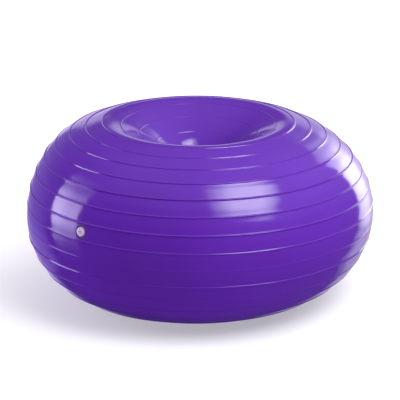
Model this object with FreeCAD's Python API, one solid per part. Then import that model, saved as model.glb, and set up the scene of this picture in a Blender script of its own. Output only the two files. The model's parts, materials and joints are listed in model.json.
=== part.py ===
import FreeCAD, Part

import math
import os

# A donut exercise ball, blown up and standing on a floor: a soft hollow ring, drawn in at the middle of its
# top and bottom by one fused web, with raised ribs all round it and a push-in air plug low on its side.
# Millimetres. +Z is up, along the ball's axis. The origin is on the floor, under the middle of the ball.
# The skin's section is drawn as (radius, height) pairs, with heights counted from the widest plane.

# The ball
OUTER_DIAMETER = 550.0      # across the widest plane, over the skin between two ribs
FREE_HEIGHT = 280.0         # from the lower crown to the upper one, before it stands on anything
CROWN_DIAMETER = 286.0      # of the circle that joins the highest points
WALL = 1.3                  # skin thickness
REST_FLATTENING = 1.0       # how far its own weight presses the lower crown flat

# The arcs of half of the section, from the widest plane up over the crown and down into the dimple
BULGE_RADIUS = 137.0        # the outside of the ring
CROWN_RADIUS = 45.0         # the top edge of the dimple
FLANK_RADIUS = 200.0        # the upper slope of the dimple
FLANK_START = 20.0          # degrees of slope where the crown passes into the flank
FLANK_END = 38.0            # degrees of slope where the flank passes into the throat
WEB_THICKNESS = 6.0         # the two skins fused across the throat
WEB_FILLET = 12.0           # where the throat's wall turns into the web

# The ribs
RIB_PITCH = 27.0            # along the skin, on the outside of the ring
DIMPLE_RIB_PITCH = 31.0     # along the skin, inside the dimple, where it is stretched further
OUTER_RIBS = 8              # from the widest plane to the crown; the first is half a pitch above the plane
DIMPLE_RIBS = 3
RIB_WIDTH = 3.2
RIB_HEIGHT = 0.9

# The valve, on an axis square to the skin. Its depths are counted along the axis from the skin's outer face.
VALVE_AZIMUTH = 40.0        # degrees round from the front (-Y) towards -X
VALVE_RISE = 27.0           # along the skin, above the widest plane: midway between the first two ribs
SEAT_RADIUS = 11.0          # the insert where it fills the hole in the skin
SEAT_FLANGE_RADIUS = 16.0   # bonded to the inside of the skin
SEAT_FLANGE_DEPTH = 4.5
NECK_RADIUS = 8.0
NECK_DEPTH = 20.0
RECESS_RADIUS = 9.2         # room for a fingernail round the plug's head
RECESS_DEPTH = 2.7
RECESS_ROUNDING = 0.9
BORE_MOUTH_RADIUS = 5.0
BORE_END_RADIUS = 4.2

# The air plug
HEAD_RADIUS = 7.2
HEAD_THICKNESS = 2.5
HEAD_ROUNDING = 0.8
HEAD_DIMPLE_RADIUS = 2.4
HEAD_DIMPLE_DEPTH = 0.9
HEAD_GAP = 0.05             # under the head, to the floor of its recess
STEM_SLACK = 0.6            # between the plain stem and the bore
SEAL_CLEARANCE = 0.04       # between each sealing ring and the bore
SEAL_DEPTHS = (5.6, 9.2, 12.8)
SEAL_WIDTH = 1.8
STEM_END_DEPTH = 17.0
TIP_LENGTH = 2.2

# Worked out from those above
OUTER_RADIUS = OUTER_DIAMETER / 2
MID_HEIGHT = FREE_HEIGHT / 2 - REST_FLATTENING
BULGE_CENTRE = (OUTER_RADIUS - BULGE_RADIUS, 0.0)
CROWN_CENTRE = (CROWN_DIAMETER / 2, FREE_HEIGHT / 2 - CROWN_RADIUS)
TRIM_SIZE = 2 * OUTER_DIAMETER
STRAIGHT = 0.0001           # an arc that bows less than this is a line
Z_AXIS = FreeCAD.Vector(0, 0, 1)


def polar(centre, radius, angle):
    """The point at that angle, in radians from the +radius direction, on a circle in the section."""
    return (centre[0] + radius * math.cos(angle), centre[1] + radius * math.sin(angle))


def inside_tangent_centre(centre, radius, next_radius, angle):
    """The centre of the next arc, which touches this one at that angle and bends the same way."""
    return polar(centre, radius - next_radius, angle)


def shoulder_angle():
    """The angle of the normal to the straight shoulder that touches both the bulge and the crown."""
    across = CROWN_CENTRE[0] - BULGE_CENTRE[0]
    up = CROWN_CENTRE[1] - BULGE_CENTRE[1]
    lean = math.acos((BULGE_RADIUS - CROWN_RADIUS) / math.hypot(across, up))
    return math.atan2(up, across) - lean


def section_arcs():
    """(centre, radius, first angle, last angle) of each arc of the upper half, from the widest plane inwards.
    The shoulder is the straight run between the first and the second."""
    shoulder = shoulder_angle()
    flank_start = math.radians(90 + FLANK_START)
    flank_end = math.radians(90 + FLANK_END)
    flank_centre = inside_tangent_centre(CROWN_CENTRE, CROWN_RADIUS, FLANK_RADIUS, flank_start)
    # The throat's wall is upright where it crosses the widest plane, so its centre lies in that plane.
    throat_radius = FLANK_RADIUS + flank_centre[1] / math.sin(flank_end)
    throat_centre = inside_tangent_centre(flank_centre, FLANK_RADIUS, throat_radius, flank_end)
    return [
        (BULGE_CENTRE, BULGE_RADIUS, 0.0, shoulder),
        (CROWN_CENTRE, CROWN_RADIUS, shoulder, flank_start),
        (flank_centre, FLANK_RADIUS, flank_start, flank_end),
        (throat_centre, throat_radius, flank_end, math.pi),
    ]


class Skin:
    """The upper half of the section as one smooth line, walked by its length from the widest plane."""

    def __init__(self, arcs):
        self.runs = []
        for index, (centre, radius, first, last) in enumerate(arcs):
            if index == 1:
                self.add_line(self.end(), polar(centre, radius, first), first)
            self.runs.append(("arc", radius * (last - first), centre, radius, first))

    def add_line(self, start, stop, normal_angle):
        length = math.hypot(stop[0] - start[0], stop[1] - start[1])
        self.runs.append(("line", length, start, stop, normal_angle))

    def end(self):
        kind, length, centre, radius, first = self.runs[-1]
        return polar(centre, radius, first + length / radius)

    def joins(self):
        """The distances at which one run passes into the next."""
        total = 0.0
        found = []
        for run in self.runs:
            total += run[1]
            found.append(total)
        return found[:-1]

    def at(self, distance, lift=0.0):
        """The point at that distance along the skin, raised square to it by lift."""
        for run in self.runs:
            if distance <= run[1] or run is self.runs[-1]:
                break
            distance -= run[1]
        if run[0] == "line":
            kind, length, start, stop, angle = run
            share = distance / length
            foot = [a + (b - a) * share for a, b in zip(start, stop)]
        else:
            kind, length, centre, radius, first = run
            angle = first + distance / radius
            foot = polar(centre, radius, angle)
        return polar(foot, lift, angle)


def rib_places():
    """Distances along the skin of the ribs above the widest plane."""
    outer = [(index + 0.5) * RIB_PITCH for index in range(OUTER_RIBS)]
    inner = [outer[-1] + (index + 1) * DIMPLE_RIB_PITCH for index in range(DIMPLE_RIBS)]
    return outer + inner


def web_fillet():
    """The fillet's centre, and the angle on the throat's arc at which it touches."""
    centre, radius, first, last = section_arcs()[-1]
    height = WEB_THICKNESS / 2 + WEB_FILLET
    reach = radius + WEB_FILLET
    fillet_centre = (centre[0] - math.sqrt(reach ** 2 - height ** 2), height)
    touch = math.pi - math.asin(height / reach)
    return fillet_centre, touch


def outer_half():
    """The spans of the upper half of the outer face, from the widest plane to the axis: 2 points for a
    line and 3 for an arc."""
    arcs = section_arcs()
    fillet_centre, touch = web_fillet()
    throat_centre, throat_radius, first, last = arcs[-1]
    arcs[-1] = (throat_centre, throat_radius, first, touch)
    skin = Skin(arcs)
    ribs = rib_places()
    half = RIB_WIDTH / 2
    ends = [place - half for place in ribs] + [place + half for place in ribs]
    open_joins = [join for join in skin.joins() if all(abs(join - place) > half for place in ribs)]
    total = sum(run[1] for run in skin.runs)
    stops = sorted([0.0, total] + ends + open_joins)
    spans = []
    for start, stop in zip(stops, stops[1:]):
        middle = (start + stop) / 2
        is_rib = any(abs(middle - place) < half / 2 for place in ribs)
        lift = RIB_HEIGHT if is_rib else 0.0
        spans.append((skin.at(start), skin.at(middle, lift), skin.at(stop)))
    floor_edge = (fillet_centre[0], WEB_THICKNESS / 2)
    fillet_start = skin.at(total)
    turn = (touch - math.pi - math.pi / 2) / 2
    spans.append((fillet_start, polar(fillet_centre, WEB_FILLET, turn), floor_edge))
    spans.append((floor_edge, (0.0, WEB_THICKNESS / 2)))
    return spans


def cavity_half():
    """The spans of the upper half of the air space, which is the smooth skin moved in by the wall."""
    spans = []
    for centre, radius, first, last in section_arcs():
        inner = radius - WALL
        start = polar(centre, inner, first)
        if spans and math.dist(spans[-1][-1], start) > WALL / 10:
            spans.append((spans[-1][-1], start))
        spans.append((start, polar(centre, inner, (first + last) / 2), polar(centre, inner, last)))
    return spans


def mirrored(spans):
    """The same spans below the widest plane, in the order that continues the outline."""
    return [tuple((r, -z) for r, z in reversed(span)) for span in reversed(spans)]


def edge(span):
    """A line between 2 points, or an arc through 3, unless those lie on the straight shoulder."""
    points = [FreeCAD.Vector(r, 0, z) for r, z in span]
    if len(points) == 2 or points[1].distanceToLine(points[0], points[2] - points[0]) < STRAIGHT:
        return Part.makeLine(points[0], points[-1])
    return Part.Arc(*points).toShape()


def turned(spans):
    """The solid that a closed outline makes when it is turned about the Z axis."""
    face = Part.Face(Part.Wire([edge(span) for span in spans]))
    return face.revolve(FreeCAD.Vector(0, 0, 0), Z_AXIS, 360)


def above(shape, height):
    """What is left of the shape above that height."""
    corner = FreeCAD.Vector(-TRIM_SIZE / 2, -TRIM_SIZE / 2, height)
    return shape.common(Part.makeBox(TRIM_SIZE, TRIM_SIZE, TRIM_SIZE, corner))


def on_floor(shape):
    """Moves a shape that was drawn about the widest plane to where the ball stands."""
    return shape.translated(FreeCAD.Vector(0, 0, MID_HEIGHT))


def valve_placement():
    """Puts a shape made along +Z, with z = 0 at the skin's outer face, on the valve's axis."""
    rise = VALVE_RISE / BULGE_RADIUS
    radius, height = polar(BULGE_CENTRE, BULGE_RADIUS, rise)
    azimuth = math.radians(VALVE_AZIMUTH)
    outward = FreeCAD.Vector(-math.sin(azimuth), -math.cos(azimuth), 0)
    normal = outward * math.cos(rise) + Z_AXIS * math.sin(rise)
    foot = outward * radius + Z_AXIS * height
    return FreeCAD.Placement(foot, FreeCAD.Rotation(Z_AXIS, normal))


def placed(shape):
    moved = shape.copy()
    moved.Placement = valve_placement().multiply(shape.Placement)
    return moved


def stub(radius, bottom, top):
    """A cylinder on the valve's axis, between two heights above the skin."""
    return Part.makeCylinder(radius, top - bottom, FreeCAD.Vector(0, 0, bottom))


def bore_radius(depth):
    share = (depth - RECESS_DEPTH) / (NECK_DEPTH - RECESS_DEPTH)
    return BORE_MOUTH_RADIUS + (BORE_END_RADIUS - BORE_MOUTH_RADIUS) * share


def recess_tool(top):
    """The plug head's recess, with its lip rounded over at the skin."""
    lip = RECESS_RADIUS + RECESS_ROUNDING
    middle = polar((lip, -RECESS_ROUNDING), RECESS_ROUNDING, math.radians(135))
    outline = [
        ((0.0, top), (0.0, -RECESS_DEPTH)),
        ((0.0, -RECESS_DEPTH), (RECESS_RADIUS, -RECESS_DEPTH)),
        ((RECESS_RADIUS, -RECESS_DEPTH), (RECESS_RADIUS, -RECESS_ROUNDING)),
        ((RECESS_RADIUS, -RECESS_ROUNDING), middle, (lip, 0.0)),
        ((lip, 0.0), (lip, top)),
        ((lip, top), (0.0, top)),
    ]
    return turned(outline)


def bore_tool():
    depth = NECK_DEPTH - RECESS_DEPTH
    base = FreeCAD.Vector(0, 0, -NECK_DEPTH)
    return Part.makeCone(BORE_END_RADIUS, BORE_MOUTH_RADIUS, depth, base)


def cap_middle(edge_radius, depth):
    """The (radius, distance from the apex) of the point halfway along a round cap's arc."""
    sphere = (edge_radius ** 2 + depth ** 2) / (2 * depth)
    half_turn = math.asin(edge_radius / sphere) / 2
    return (sphere * math.sin(half_turn), sphere * (1 - math.cos(half_turn)))


def plug_outline():
    """The plug's outline from the middle of its head round to its tip."""
    bottom = -RECESS_DEPTH + HEAD_GAP
    top = bottom + HEAD_THICKNESS
    rounding_centre = (HEAD_RADIUS - HEAD_ROUNDING, top - HEAD_ROUNDING)
    dish = top - HEAD_DIMPLE_DEPTH
    middle = cap_middle(HEAD_DIMPLE_RADIUS, HEAD_DIMPLE_DEPTH)
    points = [
        ((0.0, dish), (middle[0], dish + middle[1]), (HEAD_DIMPLE_RADIUS, top)),
        ((HEAD_DIMPLE_RADIUS, top), (rounding_centre[0], top)),
        (
            (rounding_centre[0], top),
            polar(rounding_centre, HEAD_ROUNDING, math.pi / 4),
            (HEAD_RADIUS, rounding_centre[1]),
        ),
        ((HEAD_RADIUS, rounding_centre[1]), (HEAD_RADIUS, bottom)),
    ]
    here = (HEAD_RADIUS, bottom)
    neck = (bore_radius(-bottom) - STEM_SLACK, bottom)
    points.append((here, neck))
    here = neck
    for depth in SEAL_DEPTHS:
        start = (bore_radius(depth) - STEM_SLACK, -depth + SEAL_WIDTH / 2)
        crest = (bore_radius(depth + SEAL_WIDTH / 2) - SEAL_CLEARANCE, -depth)
        stop = (start[0], -depth - SEAL_WIDTH / 2)
        points.append((here, start))
        points.append((start, crest, stop))
        here = stop
    shank_end = (bore_radius(STEM_END_DEPTH) - STEM_SLACK, -STEM_END_DEPTH + TIP_LENGTH)
    tip = (0.0, -STEM_END_DEPTH)
    middle = cap_middle(shank_end[0], TIP_LENGTH)
    points.append((here, shank_end))
    points.append((shank_end, (middle[0], tip[1] + middle[1]), tip))
    points.append((tip, (0.0, dish)))
    return points


def outer_body():
    """The ball without its air space, cut flat where it rests."""
    outline = outer_half()
    axis = ((0.0, WEB_THICKNESS / 2), (0.0, -WEB_THICKNESS / 2))
    return above(turned(outline + [axis] + mirrored(outline)), -MID_HEIGHT)


def air_space():
    outline = cavity_half()
    return above(turned(outline + mirrored(outline)), -MID_HEIGHT + WALL)


def ball_shell():
    skin = outer_body().cut(air_space())
    return skin.cut(placed(stub(SEAT_RADIUS, -SEAT_FLANGE_DEPTH, SEAT_FLANGE_DEPTH)))


def valve_seat(shell):
    collar = stub(SEAT_RADIUS, -SEAT_FLANGE_DEPTH, SEAT_FLANGE_DEPTH)
    flange = stub(SEAT_FLANGE_RADIUS, -SEAT_FLANGE_DEPTH, 0.0)
    neck = stub(NECK_RADIUS, -NECK_DEPTH, 0.0)
    blank = placed(collar.fuse([flange, neck])).common(outer_body()).cut(shell)
    opened = blank.cut([placed(recess_tool(SEAT_FLANGE_DEPTH)), placed(bore_tool())])
    return opened.removeSplitter()


def air_plug():
    return placed(turned(plug_outline()))


def main():
    os.makedirs("parts", exist_ok=True)
    shell = ball_shell()
    nodes = {
        "ball_shell": shell,
        "valve_seat": valve_seat(shell),
        "air_plug": air_plug(),
    }
    for name, shape in nodes.items():
        on_floor(shape).exportStep(os.path.join("parts", name + ".step"))
        print(name, "solids", len(shape.Solids), "valid", shape.isValid(), "mm3", round(shape.Volume))


main()
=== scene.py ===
import json
import math

import bpy
import numpy as np
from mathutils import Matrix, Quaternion, Vector

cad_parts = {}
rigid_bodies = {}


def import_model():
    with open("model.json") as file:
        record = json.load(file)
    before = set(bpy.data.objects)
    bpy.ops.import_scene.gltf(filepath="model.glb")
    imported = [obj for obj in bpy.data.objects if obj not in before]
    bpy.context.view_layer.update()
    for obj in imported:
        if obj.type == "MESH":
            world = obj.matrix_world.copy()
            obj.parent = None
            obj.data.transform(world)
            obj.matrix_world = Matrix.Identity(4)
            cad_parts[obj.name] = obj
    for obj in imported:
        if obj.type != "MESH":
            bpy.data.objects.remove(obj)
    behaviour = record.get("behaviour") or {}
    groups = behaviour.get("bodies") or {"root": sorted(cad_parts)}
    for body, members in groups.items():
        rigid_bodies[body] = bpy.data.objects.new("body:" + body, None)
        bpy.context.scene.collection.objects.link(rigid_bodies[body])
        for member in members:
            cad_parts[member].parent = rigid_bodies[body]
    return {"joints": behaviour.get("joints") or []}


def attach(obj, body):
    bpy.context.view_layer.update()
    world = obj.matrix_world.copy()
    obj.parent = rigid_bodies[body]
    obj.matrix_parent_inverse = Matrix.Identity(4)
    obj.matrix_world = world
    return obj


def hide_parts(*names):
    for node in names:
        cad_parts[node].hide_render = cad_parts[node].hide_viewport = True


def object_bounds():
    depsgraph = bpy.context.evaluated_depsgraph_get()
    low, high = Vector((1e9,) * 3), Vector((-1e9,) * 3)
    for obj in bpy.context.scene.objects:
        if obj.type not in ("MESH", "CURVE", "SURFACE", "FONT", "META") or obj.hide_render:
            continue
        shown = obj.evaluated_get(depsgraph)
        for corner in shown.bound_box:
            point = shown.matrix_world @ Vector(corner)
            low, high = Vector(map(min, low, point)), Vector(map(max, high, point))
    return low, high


# The looks of a donut exercise ball: its blown-up vinyl skin with moulded ribs, the valve insert in its side
# and the air plug. Lengths are in millimetres until a mesh is made. A place on the skin is a distance along
# its section from the widest plane, positive upwards, and an angle round the Z axis.

MM = 0.001

# The skin's section, as in the CAD model
WALL = 1.3
REST_FLATTENING = 1.0
BULGE_RADIUS = 137.0
CROWN_DIAMETER = 286.0
CROWN_RADIUS = 45.0
FLANK_RADIUS = 200.0
FLANK_START = math.radians(90 + 20)
FLANK_END = math.radians(90 + 38)
WEB_THICKNESS = 6.0
WEB_FILLET = 12.0
RIB_PITCH = 27.0
DIMPLE_RIB_PITCH = 31.0
OUTER_RIBS = 8
DIMPLE_RIBS = 3
RIB_WIDTH = 3.2
RIB_HEIGHT = 1.15
RIB_AT_WIDEST = 0.2         # how far the ribs take the CAD model's box past its plain section, sideways
RIB_AT_CROWN = 0.1          # and up
# Ribs that stand out more or less than the others, by their distance from the widest plane
RIB_SHARES = {
    13.5: 0.8, 40.5: 1.3, 67.5: 1.1, 94.5: 1.4, -13.5: 0.35, -40.5: 1.2, -67.5: 0.8,
    233.5: 0.5, 264.5: 0.3, 295.5: 0.2, -233.5: 0.5, -264.5: 0.3, -295.5: 0.2,
}

# What air pressure and handling do to it
PILLOW = 0.28               # how far the skin swells between two ribs
PLEATS = 17                 # gathers in the skin round the throat
FINE_PLEATS = 39            # smaller ones among them
FINE_PLEAT_SHARE = 0.5      # of the height of the others
PLEAT_DRIFT = 1.7           # radians by which they crowd together and spread apart, three times round
PLEAT_DEPTH = 0.2
PLEAT_FADE = 60.0           # the radius at which they have died away
# Slow waves in the skin: how many go round it, turns per 3 mm along its section, height, phase
WAVES = ((5, 0.021, 0.10, 0.4), (9, -0.034, 0.07, 2.1), (3, 0.052, 0.08, 4.0), (14, 0.045, 0.04, 1.2))
# Places where it is fuller or flatter: the angle from +X and the elevation that the skin faces there, in
# degrees, how far that spreads, in degrees, and how far the skin stands out
SWELLS = (
    (176, 14, 22, -5.6),
    (135, 66, 16, 2.4),
    (95, 74, 12, -2.2),
    (58, 66, 12, 1.3),
    (32, 58, 14, -2.0),
    (13, 34, 22, -2.8),
    (0, -8, 26, 2.4),
    (212, -34, 20, 1.2),
    (240, -62, 20, 1.4),
    (285, -62, 18, -1.8),
)
SWELLS_START = 113.0        # the radius where they begin, just inside the crown
SWELLS_BLEND = 40.0         # how much further out they reach their full height

# How finely the skin is divided
COLUMNS = 240
INNER_COLUMNS = 72
RIB_STEPS = (-1.9, -1.5, -1.15, -0.8, -0.4, 0.0, 0.4, 0.8, 1.15, 1.5, 1.9)
GAP_STEP = 4.6
INNER_STEP = 9.0

# The valve insert and the plug: depths are counted inwards from the skin's outer face
HOLE_RADIUS = 11.0
HOLE_STEPS = 72
HOLE_RINGS = (11.35, 11.08, HOLE_RADIUS)    # the rings of the skin's mesh round the hole
HOLE_EDGE = 0.08            # the first step down into the hole
PATCH_COLUMNS = 2           # the grid's columns on each side of the valve that its own mesh takes over
INNER_PATCH_MARGIN = 2.0    # room round the hole in the grid inside
FIT_ROUNDS = 12             # to find the skin's points under given points of the valve's plane
VALVE_CALM = (24.0, 70.0)   # the skin is true to its section within the first, and free beyond the second
SEAT_FLANGE_RADIUS = 16.0
SEAT_FLANGE_DEPTH = 4.5
NECK_RADIUS = 8.0
NECK_DEPTH = 20.0
RECESS_RADIUS = 9.15
RECESS_DEPTH = 2.7
BORE_MOUTH_RADIUS = 5.0
BORE_END_RADIUS = 4.2
INSERT_GAP = 0.02           # between the flange and the inside of the skin
HEAD_PROUD = 1.5            # how far the plug's head stands out of the skin
HEAD_RADIUS = 7.35
HEAD_FOOT = 2.65            # the depth of its underside
SEAL_DEPTHS = (5.6, 9.2, 12.8)
ON_AXIS = 1e-6              # a profile's point nearer to the axis than this is on it


def polar(centre, radius, angle):
    return (centre[0] + radius * math.cos(angle), centre[1] + radius * math.sin(angle))


def smooth(share):
    share = np.clip(share, 0.0, 1.0)
    return share * share * (3 - 2 * share)


def section_runs(outer_radius, half_height, fillet):
    """The runs of the upper half of the section from the widest plane to the axis: (length, start, centre,
    radius, first angle of the normal). A straight run has no centre, and a hollow one a negative radius.
    Without the fillet the section is the inside's: its throat runs on to the widest plane, with no web."""
    bulge = (outer_radius - BULGE_RADIUS, 0.0)
    crown = (CROWN_DIAMETER / 2, half_height - CROWN_RADIUS)
    across = crown[0] - bulge[0]
    up = crown[1] - bulge[1]
    shoulder = math.atan2(up, across) - math.acos((BULGE_RADIUS - CROWN_RADIUS) / math.hypot(across, up))
    flank = polar(crown, CROWN_RADIUS - FLANK_RADIUS, FLANK_START)
    throat_radius = FLANK_RADIUS + flank[1] / math.sin(FLANK_END)
    throat = polar(flank, FLANK_RADIUS - throat_radius, FLANK_END)
    height = WEB_THICKNESS / 2 + WEB_FILLET
    reach = throat_radius + WEB_FILLET
    touch = math.pi - math.asin(height / reach) if fillet else math.pi
    shoulder_start = polar(bulge, BULGE_RADIUS, shoulder)
    shoulder_stop = polar(crown, CROWN_RADIUS, shoulder)
    runs = [
        (BULGE_RADIUS * shoulder, None, bulge, BULGE_RADIUS, 0.0),
        (math.dist(shoulder_start, shoulder_stop), shoulder_start, None, 0.0, shoulder),
        (CROWN_RADIUS * (FLANK_START - shoulder), None, crown, CROWN_RADIUS, shoulder),
        (FLANK_RADIUS * (FLANK_END - FLANK_START), None, flank, FLANK_RADIUS, FLANK_START),
        (throat_radius * (touch - FLANK_END), None, throat, throat_radius, FLANK_END),
    ]
    if fillet:
        hollow = (throat[0] - math.sqrt(reach ** 2 - height ** 2), height)
        runs.append((WEB_FILLET * (touch - math.pi / 2), None, hollow, -WEB_FILLET, touch))
        runs.append((hollow[0], (hollow[0], WEB_THICKNESS / 2), None, 0.0, math.pi / 2))
    return runs


def section_point(runs, distance):
    """(radius, height above the widest plane, angle of the normal) at a distance along the section."""
    left = abs(distance)
    for length, start, centre, radius, angle in runs:
        if left <= length:
            break
        left -= length
    left = min(left, length)
    if centre is None:
        point = polar(start, left, angle + math.pi / 2)
    else:
        angle += left / radius
        point = polar(centre, radius, angle)
    side = -1 if distance < 0 else 1
    return point[0], side * point[1], side * angle


def rib_places():
    outer = [(index + 0.5) * RIB_PITCH for index in range(OUTER_RIBS)]
    inner = [outer[-1] + (index + 1) * DIMPLE_RIB_PITCH for index in range(DIMPLE_RIBS)]
    upper = outer + inner
    return [-place for place in reversed(upper)] + upper


def stations(total):
    """Distances along the section for the rows of the outer mesh, without the two poles, which are the points
    on the axis."""
    ribs = rib_places()
    edges = [-total] + ribs + [total]
    found = []
    for start, stop in zip(edges, edges[1:]):
        low = start + RIB_STEPS[-1] if start in ribs else start
        high = stop + RIB_STEPS[0] if stop in ribs else stop
        count = max(2, round((high - low) / GAP_STEP))
        found += [low + (high - low) * step / count for step in range(1, count)]
        if stop in ribs:
            found += [stop + step for step in RIB_STEPS]
    return found


class Skin:
    """The blown-up skin: turns (distance, angle) into points, with ribs and swells on them."""

    def __init__(self, runs, valve_distance, valve_angle, floor):
        self.runs = runs
        self.valve = (valve_distance, valve_angle)
        self.floor = floor
        self.ribs = np.array(rib_places())
        self.rib_heights = np.array([RIB_HEIGHT * RIB_SHARES.get(place, 1.0) for place in rib_places()])

    def lift(self, distance, angle, radius, height, slope):
        """How far the skin stands off its plain section."""
        gap = np.abs(distance[..., None] - self.ribs)
        nearest = gap.min(axis=-1)
        rib_share = np.clip(1 - (2 * nearest / RIB_WIDTH) ** 2, 0, None) ** 1.5
        rib = self.rib_heights[gap.argmin(axis=-1)] * rib_share
        pillow = PILLOW * smooth(nearest / (RIB_PITCH / 2))
        wave = sum(
            size * np.sin(lobes * angle + 2 * math.pi * pace * distance / 3 + phase)
            for lobes, pace, size, phase in WAVES
        )
        inward = smooth((PLEAT_FADE - radius) / (PLEAT_FADE / 2)) * smooth(radius / (PLEAT_FADE / 3) - 0.5)
        gathers = np.sin(PLEATS * angle + PLEAT_DRIFT * np.sin(3 * angle))
        gathers += FINE_PLEAT_SHARE * np.sin(FINE_PLEATS * angle)
        swell = np.zeros_like(radius)
        facing = np.stack([np.cos(slope) * np.cos(angle), np.cos(slope) * np.sin(angle), np.sin(slope)], -1)
        outside = smooth((radius - SWELLS_START) / SWELLS_BLEND)
        for azimuth, elevation, spread, size in SWELLS:
            azimuth, elevation = math.radians(azimuth), math.radians(elevation)
            aim = (
                math.cos(elevation) * math.cos(azimuth),
                math.cos(elevation) * math.sin(azimuth),
                math.sin(elevation),
            )
            off = np.degrees(np.arccos(np.clip(facing @ np.array(aim), -1, 1)))
            swell += size * np.exp(-0.5 * (off / spread) ** 2) * outside
        away = np.hypot(distance - self.valve[0], radius * turn_between(angle, self.valve[1]))
        calm = smooth((away - VALVE_CALM[0]) / (VALVE_CALM[1] - VALVE_CALM[0]))
        return rib + (pillow + wave + swell + PLEAT_DEPTH * inward * gathers) * calm

    def points(self, distance, angle, depth=0.0):
        """Points that far below the surface, as an array with a last axis of 3."""
        distance, angle = np.broadcast_arrays(np.asarray(distance, float), np.asarray(angle, float))
        known = {d: section_point(self.runs, d) for d in np.unique(distance)}
        flat = np.array([known[d] for d in distance.ravel()])
        radius, height, slope = (flat[:, n].reshape(distance.shape) for n in range(3))
        lift = self.lift(distance, angle, radius, height, slope) - depth
        out = radius + lift * np.cos(slope)
        made = np.stack([out * np.cos(angle), out * np.sin(angle), height + lift * np.sin(slope)], -1)
        made[..., 2] = np.maximum(made[..., 2], self.floor + depth)
        return made


def turn_between(angle, other):
    return (angle - other + math.pi) % (2 * math.pi) - math.pi


def valve_axes(axis):
    """Unit vectors outwards, sideways and up the skin at the valve."""
    out = np.array(axis, float) / np.linalg.norm(axis)
    side = np.cross((0.0, 0.0, 1.0), out)
    side /= np.linalg.norm(side)
    return out, side, np.cross(out, side)


class ValvePlace:
    """Where the valve is: its foot on the plain section, and its axes."""

    def __init__(self, runs, axis):
        self.out, self.side, self.up = valve_axes(axis)
        self.angle = math.atan2(self.out[1], self.out[0])
        self.distance = BULGE_RADIUS * math.asin(self.out[2])
        radius, height, slope = section_point(runs, self.distance)
        self.foot = np.array([radius * math.cos(self.angle), radius * math.sin(self.angle), height])
        self.round_radius = radius / math.cos(slope)

    def flatten(self, points):
        """Coordinates sideways and up, square to the valve's axis."""
        away = points - self.foot
        return np.stack([away @ self.side, away @ self.up], -1)

    def raise_from(self, across, out):
        """Points from coordinates square to the axis and along it."""
        return self.foot + across[..., :1] * self.side + across[..., 1:] * self.up + out[..., None] * self.out

    def sag(self, across):
        """How far the skin falls away from its tangent plane at the valve."""
        return -(across[..., 0] ** 2 / self.round_radius + across[..., 1] ** 2 / BULGE_RADIUS) / 2


def on_skin(skin, valve, target, depth=0.0):
    """The points of the skin that lie at those coordinates square to the valve's axis."""
    distance = valve.distance + target[:, 1]
    angle = valve.angle + target[:, 0] / valve.round_radius
    for _ in range(FIT_ROUNDS):
        off = target - valve.flatten(skin.points(distance, angle, depth))
        distance = distance + off[:, 1]
        angle = angle + off[:, 0] / valve.round_radius
    return skin.points(distance, angle, depth)


def grid_faces(rows, columns, closed_rows, skip):
    """Quads over a grid that closes on itself sideways, leaving out the cells in skip."""
    faces = []
    for row in range(rows if closed_rows else rows - 1):
        above = (row + 1) % rows
        for column in range(columns):
            if (row, column) in skip:
                continue
            beside = (column + 1) % columns
            faces.append((
                row * columns + column,
                row * columns + beside,
                above * columns + beside,
                above * columns + column,
            ))
    return faces


def patch_loop(first, last, reach, columns):
    """The (row, column) corners round the cells that the valve's patch takes over, anticlockwise as seen from
    outside."""
    loop = [(first, column) for column in range(-reach, reach)]
    loop += [(row, reach) for row in range(first, last)]
    loop += [(last, column) for column in range(reach, -reach, -1)]
    loop += [(row, -reach) for row in range(last, first, -1)]
    return [(row, column % columns) for row, column in loop]


def patch_cells(first, last, reach, columns):
    return {
        (row, column % columns)
        for row in range(first, last)
        for column in range(-reach, reach)
    }


def added(points, made):
    """Adds points to a list, and returns their numbers."""
    first = len(points)
    points += list(made)
    return list(range(first, len(points)))


def ring_faces(one, other):
    """Quads between two rings of vertex numbers."""
    count = len(one)
    return [(one[n], one[(n + 1) % count], other[(n + 1) % count], other[n]) for n in range(count)]


def stitch(outer, outer_turns, inner, inner_turns):
    """Triangles between two loops of vertex numbers that go round the valve, matched by their angles."""
    start = min(range(len(inner)), key=lambda n: abs(turn_between(inner_turns[n], outer_turns[0])))
    inner = inner[start:] + inner[:start]
    inner_turns = inner_turns[start:] + inner_turns[:start]
    base = outer_turns[0]
    ahead = [(turn - base) % (2 * math.pi) for turn in outer_turns] + [2 * math.pi]
    beyond = [turn_between(inner_turns[0], base)]
    beyond += [(turn - base) % (2 * math.pi) for turn in inner_turns[1:]] + [beyond[0] + 2 * math.pi]
    faces = []
    a = b = 0
    while a < len(outer) or b < len(inner):
        here, there = outer[a % len(outer)], inner[b % len(inner)]
        if b == len(inner) or (a < len(outer) and ahead[a + 1] <= beyond[b + 1]):
            faces.append((here, outer[(a + 1) % len(outer)], there))
            a += 1
        else:
            faces.append((here, inner[(b + 1) % len(inner)], there))
            b += 1
    return faces


def round_turns(count):
    """Angles spread evenly over a full turn."""
    return 2 * math.pi * np.arange(count) / count


def circle(turns):
    return np.stack([np.cos(turns), np.sin(turns)], -1)


def turns_of(valve, points):
    """The angles of points round the valve's axis."""
    across = valve.flatten(points)
    return list(np.arctan2(across[:, 1], across[:, 0]))


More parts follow.
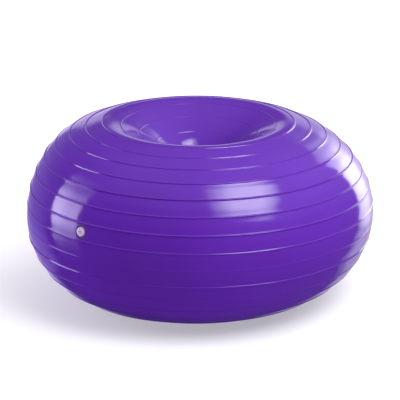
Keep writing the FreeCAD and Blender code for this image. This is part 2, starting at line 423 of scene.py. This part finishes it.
def outer_side(points, skin, valve):
    """Adds the outside of the skin with the valve's hole in it, and returns its faces and the hole's edge."""
    total = sum(run[0] for run in skin.runs)
    rows = stations(total)
    angles = valve.angle + round_turns(COLUMNS)
    added(points, skin.points(np.array(rows)[:, None], angles[None, :]).reshape(-1, 3))
    ribs = [place for place in rib_places() if place > 0]
    first = rows.index(ribs[0] + RIB_STEPS[-1])
    last = rows.index(ribs[1] + RIB_STEPS[0])
    faces = grid_faces(len(rows), COLUMNS, False, patch_cells(first, last, PATCH_COLUMNS, COLUMNS))
    for edge, pole in ((0, -total), (len(rows) - 1, total)):
        middle = added(points, [skin.points(np.array([pole]), np.array([0.0]))[0] * (0, 0, 1)])[0]
        ring = [edge * COLUMNS + column for column in range(COLUMNS)]
        fan = [(ring[n], ring[(n + 1) % COLUMNS], middle) for n in range(COLUMNS)]
        faces += fan if edge else [tuple(reversed(face)) for face in fan]

    loop = [row * COLUMNS + column for row, column in patch_loop(first, last, PATCH_COLUMNS, COLUMNS)]
    loop_turns = turns_of(valve, np.array([points[n] for n in loop]))
    turns = round_turns(HOLE_STEPS)
    ring = []
    for radius, depth in [(radius, 0.0) for radius in HOLE_RINGS] + [(HOLE_RADIUS, HOLE_EDGE)]:
        here = added(points, on_skin(skin, valve, radius * circle(turns), depth))
        faces += ring_faces(ring, here) if ring else stitch(loop, loop_turns, here, list(turns))
        ring = here
    return faces, ring


def inner_side(points, skin, valve, hole):
    """Adds the inside of the skin, joined to the hole's edge, and returns its faces."""
    total = sum(run[0] for run in skin.runs)
    count = round(2 * total / INNER_STEP)
    rows = [-total + 2 * total * (row + 0.5) / count for row in range(count)]
    base = len(points)
    angles = valve.angle + round_turns(INNER_COLUMNS)
    added(points, skin.points(np.array(rows)[:, None], angles[None, :], WALL).reshape(-1, 3))
    reach = HOLE_RADIUS + INNER_PATCH_MARGIN
    low = max(row for row in range(count) if rows[row] < valve.distance - reach)
    high = min(row for row in range(count) if rows[row] > valve.distance + reach)
    grid = grid_faces(count, INNER_COLUMNS, True, patch_cells(low, high, 1, INNER_COLUMNS))
    faces = [tuple(base + n for n in reversed(face)) for face in grid]
    corners = patch_loop(low, high, 1, INNER_COLUMNS)
    loop = [base + row * INNER_COLUMNS + column for row, column in corners]
    turns = round_turns(HOLE_STEPS)
    here = added(points, on_skin(skin, valve, HOLE_RADIUS * circle(turns), WALL))
    faces += ring_faces(hole, here)
    return faces + stitch(here, list(turns), loop, turns_of(valve, np.array([points[n] for n in loop])))


def ball_mesh(skin, inner_skin, valve, lift):
    """The whole skin, outside and inside, with the valve's hole through it."""
    points = []
    faces, hole = outer_side(points, skin, valve)
    faces += inner_side(points, inner_skin, valve, hole)
    return (np.array(points) + (0, 0, lift)) * MM, faces


def rounded(corners, steps=6):
    """A profile with each corner (radius, out, rounding, follow) turned into an arc."""
    profile = []
    for index, (radius, out, rounding, follow) in enumerate(corners):
        here = np.array([radius, out])
        if rounding == 0 or index in (0, len(corners) - 1):
            profile.append((radius, out, follow))
            continue
        back = np.array(corners[index - 1][:2]) - here
        ahead = np.array(corners[index + 1][:2]) - here
        back /= np.linalg.norm(back)
        ahead /= np.linalg.norm(ahead)
        half = math.acos(np.clip(back @ ahead, -1, 1)) / 2
        reach = rounding / math.tan(half)
        middle = (back + ahead) / np.linalg.norm(back + ahead)
        centre = here + middle * rounding / math.sin(half)
        one = here + back * reach - centre
        other = here + ahead * reach - centre
        sweep = math.atan2(one[0] * other[1] - one[1] * other[0], one @ other)
        for step in range(steps + 1):
            turn = sweep * step / steps
            spun = np.array([
                one[0] * math.cos(turn) - one[1] * math.sin(turn),
                one[0] * math.sin(turn) + one[1] * math.cos(turn),
            ])
            profile.append((*(centre + spun), follow))
    return profile


def lathed(valve, profile, turns, lift, closed):
    """A mesh turned about the valve's axis. An open profile starts and ends on the axis."""
    points, faces, rings = [], [], []
    for radius, out, follow in profile:
        if radius < ON_AXIS:
            rings.append(added(points, valve.raise_from(np.zeros((1, 2)), np.array([out]))))
            continue
        across = radius * circle(turns)
        heights = out + follow * valve.sag(across)
        rings.append(added(points, valve.raise_from(across, heights)))
    pairs = list(zip(rings, rings[1:]))
    if closed:
        pairs.append((rings[-1], rings[0]))
    count = len(turns)
    for one, other in pairs:
        for n in range(count):
            after = (n + 1) % count
            if len(one) == 1:
                faces.append((one[0], other[after], other[n]))
            elif len(other) == 1:
                faces.append((one[n], one[after], other[0]))
            else:
                faces.append((one[n], one[after], other[after], other[n]))
    return (np.array(points) + (0, 0, lift)) * MM, faces


def insert_profile():
    """Round the valve insert: its top, recess, bore, neck and flange."""
    under_skin = -WALL - INSERT_GAP
    return rounded([
        (HOLE_RADIUS, 0.0, 0, 1),
        (10.92, -0.05, 0, 1),
        (10.82, -0.01, 0, 1),
        (9.55, 0.0, 0, 1),
        (9.4, -0.04, 0, 0.9),
        (9.28, -0.14, 0, 0.8),
        (9.2, -0.3, 0, 0.5),
        (9.16, -0.6, 0, 0.2),
        (RECESS_RADIUS, -RECESS_DEPTH, 0.5, 0),
        (BORE_MOUTH_RADIUS, -RECESS_DEPTH, 0.35, 0),
        (BORE_END_RADIUS, -NECK_DEPTH, 0.35, 0),
        (NECK_RADIUS, -NECK_DEPTH, 0.8, 0),
        (NECK_RADIUS, -SEAT_FLANGE_DEPTH, 1.0, 0),
        (SEAT_FLANGE_RADIUS, -SEAT_FLANGE_DEPTH, 0.8, 0.6),
        (SEAT_FLANGE_RADIUS, under_skin, 0.4, 1),
        (HOLE_RADIUS, under_skin, 0, 1),
    ])


def plug_profile():
    """Up the air plug, which is listed from its dished head, down its stem with three sealing rings, to its
    round tip."""
    corners = [
        (0.0, HEAD_PROUD - 1.3, 0, 0),
        (0.9, HEAD_PROUD - 1.15, 0, 0),
        (1.7, HEAD_PROUD - 0.6, 0, 0),
        (2.5, HEAD_PROUD, 0.35, 0),
        (HEAD_RADIUS, HEAD_PROUD, 1.3, 0),
        (HEAD_RADIUS - 0.05, -HEAD_FOOT, 0.25, 0),
        (4.4, -HEAD_FOOT, 0.3, 0),
    ]
    for depth in SEAL_DEPTHS:
        share = (depth - RECESS_DEPTH) / (NECK_DEPTH - RECESS_DEPTH)
        bore = BORE_MOUTH_RADIUS + (BORE_END_RADIUS - BORE_MOUTH_RADIUS) * share
        corners += [
            (bore - 0.6, -depth + 1.0, 0.2, 0),
            (bore - 0.08, -depth + 0.25, 0.25, 0),
            (bore - 0.1, -depth - 0.25, 0.25, 0),
            (bore - 0.64, -depth - 1.0, 0.2, 0),
        ]
    corners += [(3.73, -14.8, 0.6, 0), (2.9, -16.3, 0.7, 0), (1.6, -16.9, 0.8, 0), (0.0, -17.0, 0, 0)]
    return rounded(corners[::-1], 4)


def new_object(name, points, faces):
    mesh = bpy.data.meshes.new(name)
    mesh.from_pydata([tuple(point) for point in points], [], faces)
    mesh.validate()
    mesh.polygons.foreach_set("use_smooth", [True] * len(mesh.polygons))
    mesh.update()
    made = bpy.data.objects.new(name, mesh)
    bpy.context.scene.collection.objects.link(made)
    return made


# Materials

# The darker and the lighter colour of each, and a vinyl's roughness
SKIN_VINYL = ((0.086, 0.0130, 0.312), (0.093, 0.0148, 0.338), 0.09)
# Painted shade: the seat's vinyl is about half as bright as the skin's. It darkens the recess and the ring
# round the plug, though the insert itself has the skin's purple.
SEAT_VINYL_PAINTED_SHADE = ((0.042, 0.007, 0.155), (0.05, 0.009, 0.18), 0.42)
PLUG_COLOURS = ((0.47, 0.32, 0.60), (0.58, 0.43, 0.69))
PLUG_ROUGHNESS = (0.28, 0.38)
FLOOR_COLOURS = ((0.54, 0.54, 0.54), (0.57, 0.57, 0.57))
CLOUDS = (0.3, 0.7)         # the part of a noise that is spread over a range of colours or values


class Nodes:
    """A short way to build a node tree."""

    def __init__(self, name):
        self.material = bpy.data.materials.new(name)
        self.material.use_nodes = True
        self.tree = self.material.node_tree
        self.tree.nodes.clear()
        self.output = self.tree.nodes.new("ShaderNodeOutputMaterial")

    def add(self, kind, **settings):
        node = self.tree.nodes.new(kind)
        for name, value in settings.items():
            setattr(node, name, value)
        return node

    def link(self, source, target):
        self.tree.links.new(source, target)

    def shader(self, **values):
        node = self.add("ShaderNodeBsdfPrincipled")
        for name, value in values.items():
            node.inputs[name.replace("_", " ")].default_value = value
        self.link(node.outputs["BSDF"], self.output.inputs["Surface"])
        return node

    def noise(self, coordinates, scale, detail=2.0, roughness=0.5):
        node = self.add("ShaderNodeTexNoise")
        node.inputs["Scale"].default_value = scale
        node.inputs["Detail"].default_value = detail
        node.inputs["Roughness"].default_value = roughness
        self.link(coordinates, node.inputs["Vector"])
        return node.outputs["Fac"]

    def clouds(self, source, colours):
        """Spreads the middle of a noise over two colours."""
        node = self.add("ShaderNodeValToRGB")
        for element, place, colour in zip(node.color_ramp.elements, CLOUDS, colours):
            element.position = place
            element.color = (*colour, 1.0)
        self.link(source, node.inputs["Fac"])
        return node.outputs["Color"]

    def spread(self, source, low, high):
        """Spreads the middle of a noise over a range of values."""
        node = self.add("ShaderNodeMapRange")
        node.inputs["From Min"].default_value, node.inputs["From Max"].default_value = CLOUDS
        node.inputs["To Min"].default_value = low
        node.inputs["To Max"].default_value = high
        self.link(source, node.inputs["Value"])
        return node.outputs["Result"]

    def bump(self, height, strength, distance, normal=None):
        node = self.add("ShaderNodeBump")
        node.inputs["Strength"].default_value = strength
        node.inputs["Distance"].default_value = distance
        self.link(height, node.inputs["Height"])
        if normal is not None:
            self.link(normal, node.inputs["Normal"])
        return node.outputs["Normal"]

    def objects(self):
        return self.add("ShaderNodeTexCoord").outputs["Object"]


def vinyl(name, deep, bright, roughness):
    """Glossy coloured vinyl: cloudy colour, a little haze and a fine moulded grain."""
    made = Nodes(name)
    shader = made.shader(IOR=1.5)
    place = made.objects()
    cloud = made.noise(place, 9.0, 3.0)
    made.link(made.clouds(cloud, (deep, bright)), shader.inputs["Base Color"])
    haze = made.noise(place, 26.0, 4.0, 0.6)
    made.link(made.spread(haze, roughness - 0.03, roughness + 0.04), shader.inputs["Roughness"])
    grain = made.bump(made.noise(place, 900.0, 2.0), 0.03, 0.0004)
    mottle = made.bump(made.noise(place, 260.0, 3.0), 0.05, 0.0004, grain)
    ripple = made.bump(made.noise(place, 60.0, 2.0), 0.10, 0.0006, mottle)
    made.link(ripple, shader.inputs["Normal"])
    return made.material


def plug_plastic():
    """Milky soft plastic that lets a little light in."""
    made = Nodes("plug_plastic")
    shader = made.shader(IOR=1.5, Subsurface_Weight=0.35, Subsurface_Scale=0.004)
    shader.inputs["Subsurface Radius"].default_value = (1.0, 0.75, 1.0)
    place = made.objects()
    cloud = made.noise(place, 260.0, 2.0)
    made.link(made.clouds(cloud, PLUG_COLOURS), shader.inputs["Base Color"])
    made.link(made.spread(made.noise(place, 500.0), *PLUG_ROUGHNESS), shader.inputs["Roughness"])
    made.link(made.bump(made.noise(place, 1400.0), 0.06, 0.0002), shader.inputs["Normal"])
    return made.material


def floor_paint():
    """White paper lit from below, more so behind the ball."""
    made = Nodes("floor_paint")
    shader = made.shader(Roughness=0.85)
    shader.inputs["Emission Color"].default_value = (1.0, 1.0, 1.0, 1.0)
    place = made.objects()
    cloud = made.noise(place, 1.5, 2.0)
    made.link(made.clouds(cloud, FLOOR_COLOURS), shader.inputs["Base Color"])
    away = made.add("ShaderNodeVectorMath", operation="DOT_PRODUCT")
    made.link(place, away.inputs[0])
    away.inputs[1].default_value = FLOOR_GLOW_WAY
    glow = made.add("ShaderNodeMapRange", interpolation_type="SMOOTHSTEP")
    for name, value in zip(("From Min", "From Max", "To Min", "To Max"), FLOOR_GLOW_REACH + FLOOR_GLOW):
        glow.inputs[name].default_value = value
    made.link(away.outputs["Value"], glow.inputs["Value"])
    made.link(glow.outputs["Result"], shader.inputs["Emission Strength"])
    return made.material


# The studio

# How bright the room is at a height on the unit sphere round the ball, on its darker and its brighter side
ROOM_DARK = ((-0.5, 0.04), (0.0, 0.06), (0.3, 0.10), (0.6, 0.19), (0.95, 0.55))
ROOM_BRIGHT = ((-0.5, 0.14), (0.0, 0.22), (0.3, 0.45), (0.6, 0.80), (0.95, 0.90))
ROOM_TURN = (-0.1, 0.95)    # it passes from the one to the other between these places along X

# How bright a softbox is from one edge to the other: (place, share)
SOFT = ((0.0, 0.0), (0.12, 0.8), (0.25, 1.0), (0.75, 1.0), (0.88, 0.8), (1.0, 0.0))
LEFT_ACROSS = ((0.0, 0.0), (0.06, 0.0), (0.11, 0.9), (0.3, 1.0), (0.6, 0.85), (0.96, 0.85), (1.0, 0.0))
LEFT_UP = (
    (0.0, 0.0), (0.12, 0.03), (0.21, 0.1), (0.30, 0.35), (0.37, 0.7), (0.45, 1.0),
    (0.58, 0.95), (0.66, 0.62), (0.75, 0.26), (0.85, 0.12), (1.0, 0.0),
)
RIGHT_ACROSS = ((0.0, 0.0), (0.03, 1.0), (0.25, 0.95), (0.4, 0.6), (0.52, 0.2), (0.7, 0.0), (1.0, 0.0))
RIGHT_UP = (
    (0.0, 0.06), (0.3, 0.12), (0.36, 0.38), (0.43, 0.5), (0.57, 0.85), (0.64, 1.0),
    (0.71, 0.8), (0.79, 0.55), (0.87, 0.36), (1.0, 0.15),
)
WALL_UP = (
    (0.0, 0.0), (0.1, 0.8), (0.25, 0.9), (0.38, 0.6), (0.55, 0.6), (0.68, 0.4), (0.8, 0.15), (1.0, 0.0),
)
FRONT_ACROSS = ((0.0, 0.0), (0.15, 0.4), (0.35, 1.0), (0.7, 1.0), (0.83, 0.6), (0.96, 0.0), (1.0, 0.0))
FRONT_UP = ((0.0, 0.0), (0.12, 0.5), (0.3, 1.0), (0.84, 1.0), (0.92, 0.6), (1.0, 0.0))
BACKDROP_ACROSS = ((0.0, 0.0), (0.05, 1.0), (0.93, 1.0), (1.0, 0.0))
BACKDROP_UP = ((0.0, 0.0), (0.08, 0.8), (0.4, 0.8), (0.5, 1.0), (0.9, 1.0), (1.0, 0.0))

WHITE = (1.0, 1.0, 1.0)
PEARL = (0.92, 0.83, 1.0)
SKY = (0.86, 0.76, 1.0)
LILAC = (0.6, 0.45, 1.0)

# (name, colour, azimuth, elevation, distance, width, height, roll, radiance, across, up), in metres and
# degrees, with azimuth 0 on the camera's side and 90 at +X
SOFTBOXES = (
    ("left_softbox", SKY, -91, 8, 1.15, 0.60, 1.61, 9, 8.0, LEFT_ACROSS, LEFT_UP),
    ("front_softbox", WHITE, 41, 50, 1.7, 1.3, 1.42, -24, 8.7, FRONT_ACROSS, FRONT_UP),
    ("right_softbox", WHITE, 146.5, -4, 1.6, 1.56, 2.5, -11, 6.2, RIGHT_ACROSS, RIGHT_UP),
    ("left_wall", LILAC, -143, -2, 2.0, 2.6, 3.0, 0, 0.80, SOFT, WALL_UP),
    ("backdrop", PEARL, 163, -10, 2.5, 3.8, 2.9, 0, 0.76, BACKDROP_ACROSS, BACKDROP_UP),
)
OVERHEAD = ("overhead_fill", WHITE, 50, 64, 2.8, 2.4, 2.4, 0, 2.0, SOFT, SOFT)
CAMERA_ELEVATION = 18.1
CAMERA_DISTANCE = 3.3
CAMERA_LENS = 187.1
CAMERA_SENSOR = 36.0
CAMERA_SHIFT = (0.0045, 0.0135)
FLOOR_REACH = 14.0
FLOOR_GLOW = (0.27, 0.70)   # in front of the ball and behind it
FLOOR_GLOW_REACH = (-0.9, 1.2)
FLOOR_GLOW_WAY = (-0.35, 1.0, 0.0)


def aimed(thing, position, target):
    thing.location = position
    thing.rotation_mode = "QUATERNION"
    thing.rotation_quaternion = (Vector(target) - Vector(position)).to_track_quat("-Z", "Y")


def toward(azimuth, elevation, distance, centre):
    """A point seen from the ball in that direction: azimuth 0 is the camera's side and 90 is +X."""
    azimuth, elevation = math.radians(azimuth), math.radians(elevation)
    return Vector(centre) + distance * Vector((
        math.sin(azimuth) * math.cos(elevation),
        -math.cos(azimuth) * math.cos(elevation),
        math.sin(elevation),
    ))


def profile_curve(tree, source, profile):
    """A float curve through (place, share) pairs."""
    node = tree.nodes.new("ShaderNodeFloatCurve")
    points = node.mapping.curves[0].points
    for _ in profile[2:]:
        points.new(0.5, 0.5)
    for point, (place, share) in zip(points, profile):
        point.location = (place, share)
        point.handle_type = "VECTOR"
    node.mapping.update()
    tree.links.new(source, node.inputs["Value"])
    return node.outputs["Value"]


def softbox(centre, name, colour, azimuth, elevation, distance, width, height, roll, radiance, across, up):
    """A soft light aimed at the ball, with a brightness that changes over its face."""
    light = bpy.data.lights.new(name, "AREA")
    light.shape = "RECTANGLE"
    light.size = width
    light.size_y = height
    light.energy = radiance * math.pi * width * height
    light.color = colour
    light.use_nodes = True
    tree = light.node_tree
    where = tree.nodes.new("ShaderNodeNewGeometry").outputs["Parametric"]
    split = tree.nodes.new("ShaderNodeSeparateXYZ")
    tree.links.new(where, split.inputs["Vector"])
    both = tree.nodes.new("ShaderNodeMath")
    both.operation = "MULTIPLY"
    tree.links.new(profile_curve(tree, split.outputs["X"], across), both.inputs[0])
    tree.links.new(profile_curve(tree, split.outputs["Y"], up), both.inputs[1])
    tree.links.new(both.outputs["Value"], tree.nodes["Emission"].inputs["Strength"])
    made = bpy.data.objects.new(name, light)
    bpy.context.scene.collection.objects.link(made)
    aimed(made, toward(azimuth, elevation, distance, centre), centre)
    made.rotation_quaternion = made.rotation_quaternion @ Quaternion((0, 0, 1), math.radians(roll))
    made.visible_camera = False
    return made


def room_ramp(tree, climb, levels):
    node = tree.nodes.new("ShaderNodeValToRGB")
    elements = node.color_ramp.elements
    for _ in levels[2:]:
        elements.new(0.5)
    for element, (height, level) in zip(elements, levels):
        element.position = (height - levels[0][0]) / (1 - levels[0][0])
        element.color = (level, level, level, 1)
    tree.links.new(climb, node.inputs["Fac"])
    return node.outputs["Color"]


def room():
    """The room round the set: brightest overhead, brighter on the right, and dark below the horizon."""
    world = bpy.data.worlds.new("room")
    bpy.context.scene.world = world
    world.use_nodes = True
    tree = world.node_tree
    place = tree.nodes.new("ShaderNodeTexCoord").outputs["Generated"]
    split = tree.nodes.new("ShaderNodeSeparateXYZ")
    tree.links.new(place, split.inputs["Vector"])
    climb = tree.nodes.new("ShaderNodeMapRange")
    climb.inputs["From Min"].default_value = ROOM_DARK[0][0]
    climb.inputs["From Max"].default_value = 1.0
    tree.links.new(split.outputs["Z"], climb.inputs["Value"])
    across = tree.nodes.new("ShaderNodeMapRange")
    across.interpolation_type = "SMOOTHSTEP"
    across.inputs["From Min"].default_value, across.inputs["From Max"].default_value = ROOM_TURN
    tree.links.new(split.outputs["X"], across.inputs["Value"])
    mix = tree.nodes.new("ShaderNodeMix")
    mix.data_type = "RGBA"
    tree.links.new(across.outputs["Result"], mix.inputs["Factor"])
    for levels, socket in ((ROOM_DARK, "A"), (ROOM_BRIGHT, "B")):
        colour = room_ramp(tree, climb.outputs["Result"], levels)
        target = next(slot for slot in mix.inputs if slot.name == socket and slot.type == "RGBA")
        tree.links.new(colour, target)
    result = next(slot for slot in mix.outputs if slot.type == "RGBA")
    tree.links.new(result, tree.nodes["Background"].inputs["Color"])


def studio(centre):
    room()
    for softbox_values in SOFTBOXES:
        softbox(centre, *softbox_values)
    fill = softbox(centre, *OVERHEAD)
    fill.visible_glossy = False
    mesh = bpy.data.meshes.new("floor")
    corners = [(-FLOOR_REACH, -FLOOR_REACH), (FLOOR_REACH, -FLOOR_REACH)]
    corners += [(FLOOR_REACH, FLOOR_REACH), (-FLOOR_REACH, FLOOR_REACH)]
    mesh.from_pydata([(x, y, 0.0) for x, y in corners], [], [(0, 1, 2, 3)])
    floor = bpy.data.objects.new("floor", mesh)
    bpy.context.scene.collection.objects.link(floor)
    floor.data.materials.append(floor_paint())
    floor.visible_glossy = False


def camera(centre):
    data = bpy.data.cameras.new("camera")
    data.sensor_width = CAMERA_SENSOR
    data.lens = CAMERA_LENS
    data.shift_x, data.shift_y = CAMERA_SHIFT
    made = bpy.data.objects.new("camera", data)
    bpy.context.scene.collection.objects.link(made)
    aimed(made, toward(0, CAMERA_ELEVATION, CAMERA_DISTANCE, centre), centre)
    bpy.context.scene.camera = made


def main():
    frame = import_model()
    cad_low, cad_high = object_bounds()
    outer_radius = (cad_high.x - cad_low.x) / 2 / MM - RIB_AT_WIDEST
    half_height = (cad_high.z / MM + REST_FLATTENING - RIB_AT_CROWN) / 2
    outer_radius, half_height = round(outer_radius), round(half_height)
    mid_height = half_height - REST_FLATTENING
    runs = section_runs(outer_radius, half_height, True)
    inner_runs = section_runs(outer_radius, half_height, False)
    valve = ValvePlace(runs, frame["joints"][0]["axis"])
    skin = Skin(runs, valve.distance, valve.angle, -mid_height)
    inner_skin = Skin(inner_runs, valve.distance, valve.angle, -mid_height)

    points, faces = ball_mesh(skin, inner_skin, valve, mid_height)
    ball = new_object("ball_skin", points, faces)
    ball.data.materials.append(vinyl("vinyl_skin", *SKIN_VINYL))
    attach(ball, "ball")
    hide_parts("ball_shell")

    points, faces = lathed(valve, insert_profile(), round_turns(HOLE_STEPS), mid_height, True)
    insert = new_object("valve_insert", points, faces)
    # The seat's material holds painted shade: its vinyl is darker than the skin's, which darkens the recess
    # round the plug.
    insert.data.materials.append(vinyl("vinyl_seat", *SEAT_VINYL_PAINTED_SHADE))
    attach(insert, "ball")
    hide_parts("valve_seat")

    points, faces = lathed(valve, plug_profile(), round_turns(HOLE_STEPS), mid_height, False)
    plug = new_object("stopper", points, faces)
    plug.data.materials.append(plug_plastic())
    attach(plug, "plug")
    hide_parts("air_plug")

    centre = (0.0, 0.0, mid_height * MM)
    studio(centre)
    camera(centre)
    bpy.context.scene.view_settings.view_transform = "Standard"


main()
